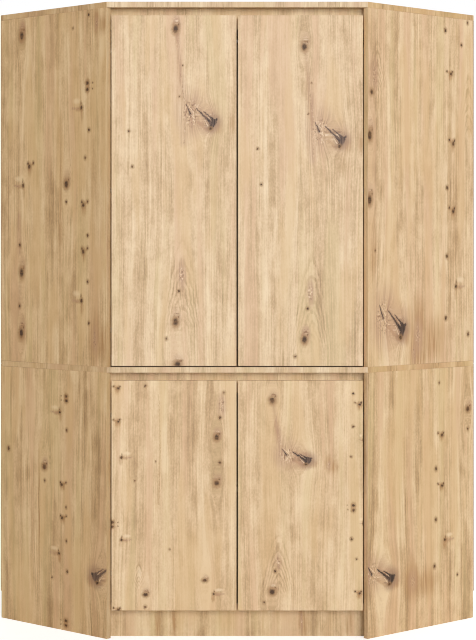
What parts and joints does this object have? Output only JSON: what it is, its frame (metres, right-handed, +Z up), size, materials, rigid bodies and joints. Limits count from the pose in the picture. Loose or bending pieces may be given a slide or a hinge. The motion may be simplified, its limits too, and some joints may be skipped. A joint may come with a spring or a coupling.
{
  "type": "corner wardrobe",
  "caption": "Free-standing corner wardrobe with a five-sided plan: a tall hanging compartment over a lower cupboard, each behind a pair of handle-less hinged doors on the angled front.",
  "frame": {"origin": "on the floor, at the middle of the box round the wardrobe's plan; the corner of the room is 0.5226 m behind it", "axes": "+Z up, -Y out of the doors, +X to the right as one faces the doors; the room's two walls run from the corner at 45 degrees between -Y and -X and between -Y and +X"},
  "size_m": [1.4142, 1.0452, 1.8],
  "materials": {
    "oak_board": "satin melamine with a knotty oak decor, vertical grain",
    "hardboard": "smooth brown hardboard",
    "beech": "plain",
    "chrome": "polished",
    "nickel": "nickel plated",
    "zinc": "cast zinc and plain steel",
    "grey_plastic": "matt"
  },
  "bodies": {
    "carcass": {"back_nails": "zinc", "bottom_board": "oak_board", "cam_bolts": "zinc", "cam_locks": "zinc", "dowels": "beech", "hanging_rail": "chrome", "hanging_rail_caps": "grey_plastic", "hinge_arm_screws": "nickel", "hinge_arms": "nickel", "hinge_plate_screws": "nickel", "hinge_plates": "nickel", "lower_corner_post": "oak_board", "lower_left_back": "hardboard", "lower_left_side": "oak_board", "lower_rail": "oak_board", "lower_right_back": "hardboard", "lower_right_side": "oak_board", "lower_shelf": "oak_board", "middle_board": "oak_board", "plinth_board": "oak_board", "rail_bracket_screws": "nickel", "rail_brackets": "chrome", "shelf_pins": "nickel", "top_board": "oak_board", "upper_corner_post": "oak_board", "upper_left_back": "hardboard", "upper_left_side": "oak_board", "upper_rail": "oak_board", "upper_right_back": "hardboard", "upper_right_side": "oak_board", "wall_bracket_screws": "nickel", "wall_brackets": "nickel"},
    "lower_left": {"lower_left_door": "oak_board", "lower_left_hinge_cups": "nickel", "lower_left_hinge_pins": "nickel", "lower_left_cup_screws": "nickel"},
    "lower_right": {"lower_right_door": "oak_board", "lower_right_hinge_cups": "nickel", "lower_right_hinge_pins": "nickel", "lower_right_cup_screws": "nickel"},
    "upper_left": {"upper_left_door": "oak_board", "upper_left_hinge_cups": "nickel", "upper_left_hinge_pins": "nickel", "upper_left_cup_screws": "nickel"},
    "upper_right": {"upper_right_door": "oak_board", "upper_right_hinge_cups": "nickel", "upper_right_hinge_pins": "nickel", "upper_right_cup_screws": "nickel"}
  },
  "joints": [
    {"name": "lower_left_door_swing", "type": "hinge", "parent": "carcass", "child": "lower_left", "pos_m": [-0.34128, -0.51325, 0.405], "axis": [0, 0, -1], "range_deg": [0, 95]},
    {"name": "lower_right_door_swing", "type": "hinge", "parent": "carcass", "child": "lower_right", "pos_m": [0.34128, -0.51325, 0.405], "axis": [0, 0, 1], "range_deg": [0, 95]},
    {"name": "upper_left_door_swing", "type": "hinge", "parent": "carcass", "child": "upper_left", "pos_m": [-0.34128, -0.51325, 1.2665], "axis": [0, 0, -1], "range_deg": [0, 95]},
    {"name": "upper_right_door_swing", "type": "hinge", "parent": "carcass", "child": "upper_right", "pos_m": [0.34128, -0.51325, 1.2665], "axis": [0, 0, 1], "range_deg": [0, 95]}
  ]
}
